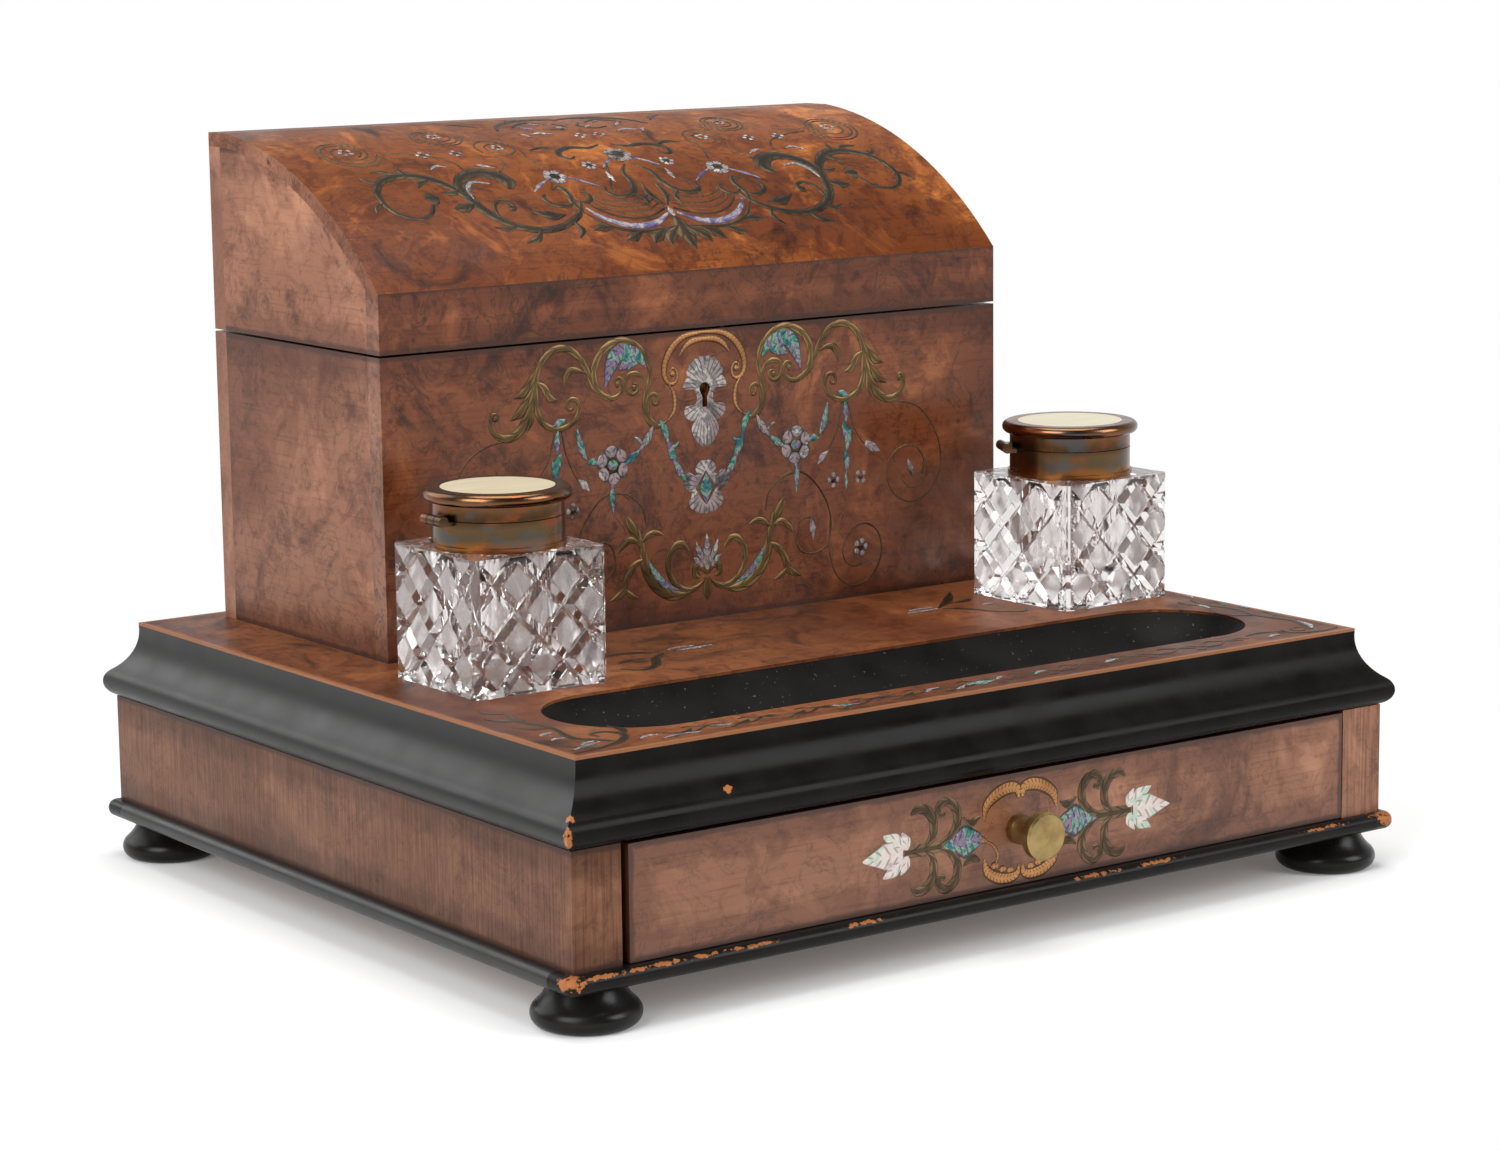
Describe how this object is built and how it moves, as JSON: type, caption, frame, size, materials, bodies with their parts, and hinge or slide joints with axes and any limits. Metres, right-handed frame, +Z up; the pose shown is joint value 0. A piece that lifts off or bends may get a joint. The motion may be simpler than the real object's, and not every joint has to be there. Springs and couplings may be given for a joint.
{
  "type": "desk stand with inkwells and stationery box",
  "caption": "Walnut desk stand with a domed hinged stationery box, lift-out square glass inkwells with hinged brass caps, a scooped pen tray, a front drawer and turned bun feet.",
  "frame": {"origin": "middle of the footprint, at the level of the table under the feet", "axes": "+X to the right along the long side, +Y to the back (the drawer faces -Y), +Z up"},
  "size_m": [0.349, 0.3174, 0.2602],
  "materials": {
    "walnut_veneer": "polished burr walnut with brass and shell inlay",
    "ebonised_wood": "satin black",
    "plain_wood": "plain unpolished wood",
    "dull_brass": "dull aged brass",
    "bronzed_brass": "tarnished bronze tone",
    "cut_glass": "clear cut glass",
    "cream_disc": "cream enamel disc",
    "pearl_shell": "pearly shell"
  },
  "bodies": {
    "base": {"base_moulding_back": "ebonised_wood", "base_moulding_front": "ebonised_wood", "base_moulding_left": "ebonised_wood", "base_moulding_right": "ebonised_wood", "bottom_board": "plain_wood", "box_back": "walnut_veneer", "box_floor": "plain_wood", "box_front": "walnut_veneer", "box_left_side": "walnut_veneer", "box_right_side": "walnut_veneer", "carcase_back": "plain_wood", "carcase_left_side": "walnut_veneer", "carcase_right_side": "walnut_veneer", "cornice_back": "ebonised_wood", "cornice_front": "ebonised_wood", "cornice_left": "ebonised_wood", "cornice_right": "ebonised_wood", "divider_back": "plain_wood", "divider_front": "plain_wood", "foot_back_left": "ebonised_wood", "foot_back_right": "ebonised_wood", "foot_front_left": "ebonised_wood", "foot_front_right": "ebonised_wood", "hinge_box_screws": "dull_brass", "hinge_left_box_leaf": "dull_brass", "hinge_left_pin": "dull_brass", "hinge_right_box_leaf": "dull_brass", "hinge_right_pin": "dull_brass", "keyhole_escutcheon": "pearl_shell", "lock_case": "dull_brass", "pen_tray": "ebonised_wood", "platform_board": "plain_wood", "platform_veneer": "walnut_veneer"},
    "lid": {"hinge_left_lid_leaf": "dull_brass", "hinge_lid_screws": "dull_brass", "hinge_right_lid_leaf": "dull_brass", "lid_back": "walnut_veneer", "lid_dome": "walnut_veneer", "lid_front_rail": "walnut_veneer", "lid_left_cheek": "walnut_veneer", "lid_right_cheek": "walnut_veneer", "lock_link_plate": "dull_brass"},
    "drawer": {"drawer_back": "plain_wood", "drawer_bottom": "plain_wood", "drawer_front": "walnut_veneer", "drawer_knob": "dull_brass", "drawer_left_side": "plain_wood", "drawer_right_side": "plain_wood", "knob_nut": "dull_brass"},
    "lock_bolt": {"lock_bolt": "dull_brass"},
    "inkwell_left": {"inkwell_left_bottle": "cut_glass", "inkwell_left_collar": "bronzed_brass", "inkwell_left_hinge_pin": "bronzed_brass"},
    "inkwell_left_cap": {"inkwell_left_cap": "bronzed_brass", "inkwell_left_cap_disc": "cream_disc"},
    "inkwell_right": {"inkwell_right_bottle": "cut_glass", "inkwell_right_collar": "bronzed_brass", "inkwell_right_hinge_pin": "bronzed_brass"},
    "inkwell_right_cap": {"inkwell_right_cap": "bronzed_brass", "inkwell_right_cap_disc": "cream_disc"}
  },
  "joints": [
    {"name": "lid_hinge", "type": "hinge", "parent": "base", "child": "lid", "pos_m": [0, 0.14215, 0.1898], "axis": [-1, 0, 0], "range_deg": [0, 100]},
    {"name": "drawer_slide", "type": "slide", "parent": "base", "child": "drawer", "axis": [0, -1, 0], "range_m": [0, 0.2]},
    {"name": "lock_bolt_slide", "type": "slide", "parent": "base", "child": "lock_bolt", "axis": [1, 0, 0], "range_m": [0, 0.005]},
    {"name": "inkwell_left_lift", "type": "slide", "parent": "base", "child": "inkwell_left", "axis": [0, 0, 1], "range_m": [0, 0.06]},
    {"name": "inkwell_left_cap_hinge", "type": "hinge", "parent": "inkwell_left", "child": "inkwell_left_cap", "pos_m": [-0.1416, -0.023, 0.14125], "axis": [0, -1, 0], "range_deg": [0, 105]},
    {"name": "inkwell_right_lift", "type": "slide", "parent": "base", "child": "inkwell_right", "axis": [0, 0, 1], "range_m": [0, 0.06]},
    {"name": "inkwell_right_cap_hinge", "type": "hinge", "parent": "inkwell_right", "child": "inkwell_right_cap", "pos_m": [0.10868, -0.01164, 0.14125], "axis": [-0.4617, -0.887, 0], "range_deg": [0, 105]}
  ]
}
